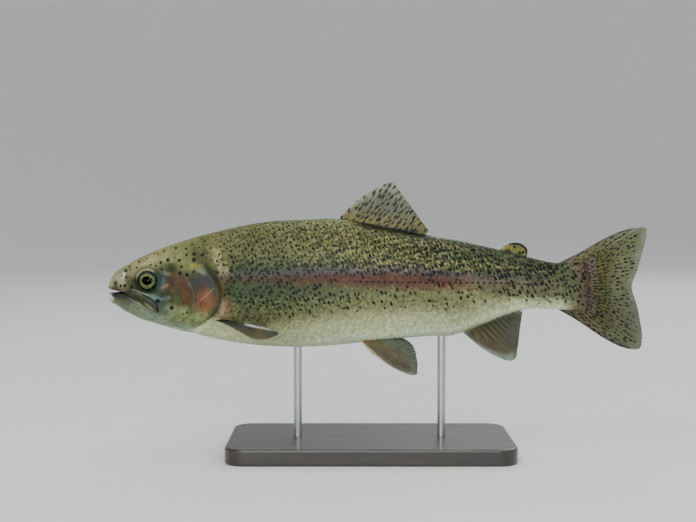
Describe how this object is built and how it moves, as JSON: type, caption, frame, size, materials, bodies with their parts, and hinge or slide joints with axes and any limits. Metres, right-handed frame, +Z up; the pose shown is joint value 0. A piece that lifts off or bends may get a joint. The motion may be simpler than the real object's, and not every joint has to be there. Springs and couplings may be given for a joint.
{
  "type": "rainbow trout, still life-size display model on a two-rod stand",
  "caption": "Life-size rainbow trout with fins spread and mouth slightly open, held level above a flat stand base by two rods.",
  "frame": {"origin": "on the surface under the stand, below the middle of the fish's length", "axes": "+X from the snout towards the tail, +Y to the fish's right, +Z up"},
  "size_m": [0.4, 0.104, 0.2017],
  "materials": {
    "skin": "wet, scaly fish skin: olive back with black spots, rose stripe, pale belly",
    "fin": "thin translucent fin skin over fine rays",
    "eye": "clear wet eye with a green-gold iris and a black pupil",
    "stand_base": "satin black lacquer",
    "stand_rod": "satin steel"
  },
  "bodies": {
    "root": {"head": "skin", "lower_jaw": "skin", "trunk": "skin", "tail_stalk": "skin", "gill_cover_left": "skin", "gill_cover_right": "skin", "maxilla_left": "skin", "maxilla_right": "skin", "eye_left": "eye", "eye_right": "eye", "dorsal_fin": "fin", "adipose_fin": "fin", "tail_fin": "fin", "anal_fin": "fin", "pectoral_fin_left": "fin", "pectoral_fin_right": "fin", "pelvic_fin_left": "fin", "pelvic_fin_right": "fin", "stand_base": "stand_base", "stand_rod_front": "stand_rod", "stand_rod_rear": "stand_rod"}
  },
  "joints": []
}
